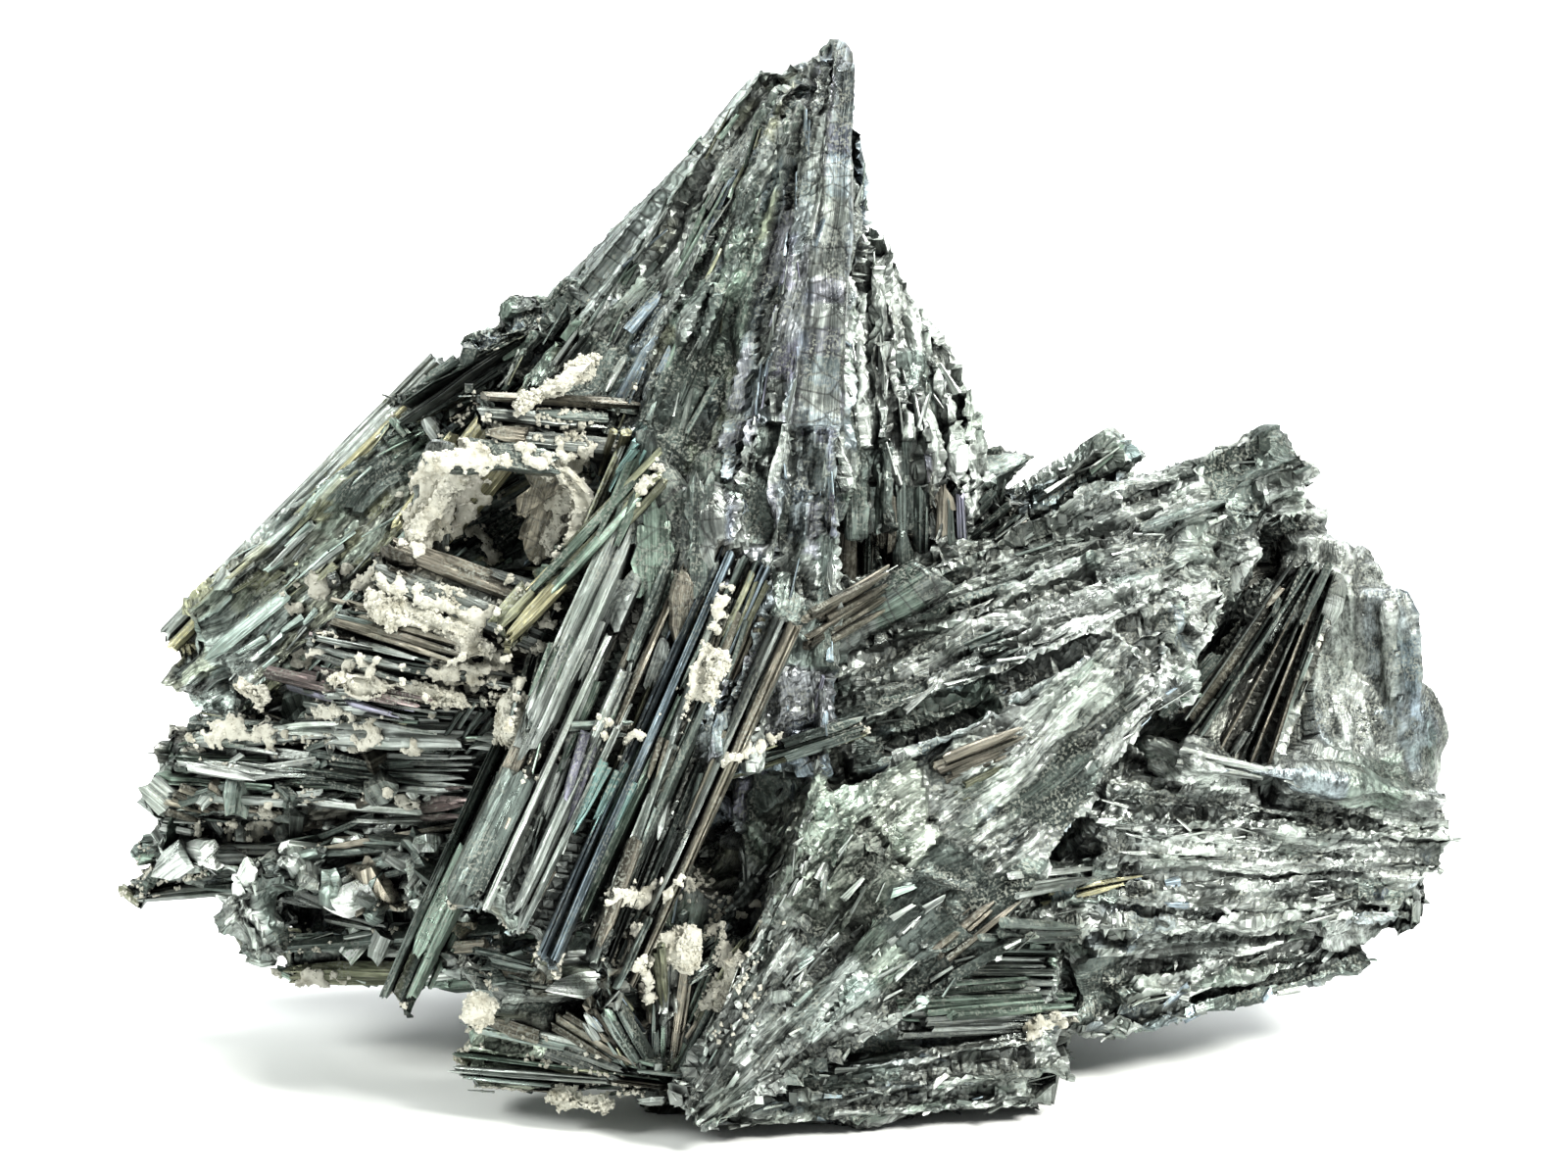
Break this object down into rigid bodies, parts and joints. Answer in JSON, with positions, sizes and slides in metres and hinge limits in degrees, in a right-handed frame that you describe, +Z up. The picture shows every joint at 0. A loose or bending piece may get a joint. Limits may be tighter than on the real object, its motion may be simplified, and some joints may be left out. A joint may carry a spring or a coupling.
{
  "type": "stibnite crystal cluster",
  "caption": "Natural cluster of metallic bladed stibnite crystals in fans and sheaves around a tall spire, with pale druse crusts, resting on a flat broken base.",
  "frame": {"origin": "middle of the bounding box, on the flat base", "axes": "+X to the right as seen from the front, +Y to the back, +Z up"},
  "size_m": [0.1394, 0.0671, 0.1051],
  "materials": {
    "stibnite": "bright metallic blades with grey, blue and olive tarnish",
    "druse": "sugary white crystal crust"
  },
  "bodies": {
    "root": {"stibnite_cluster": "stibnite", "crust_pocket": "druse", "crust_lintel": "druse", "crust_sill": "druse", "crust_fan": "druse", "crust_knot": "druse", "crust_left": "druse", "crust_front_seam": "druse", "crust_foot": "druse", "crust_foot_right": "druse", "crust_stub": "druse", "crust_sole": "druse"}
  },
  "joints": []
}
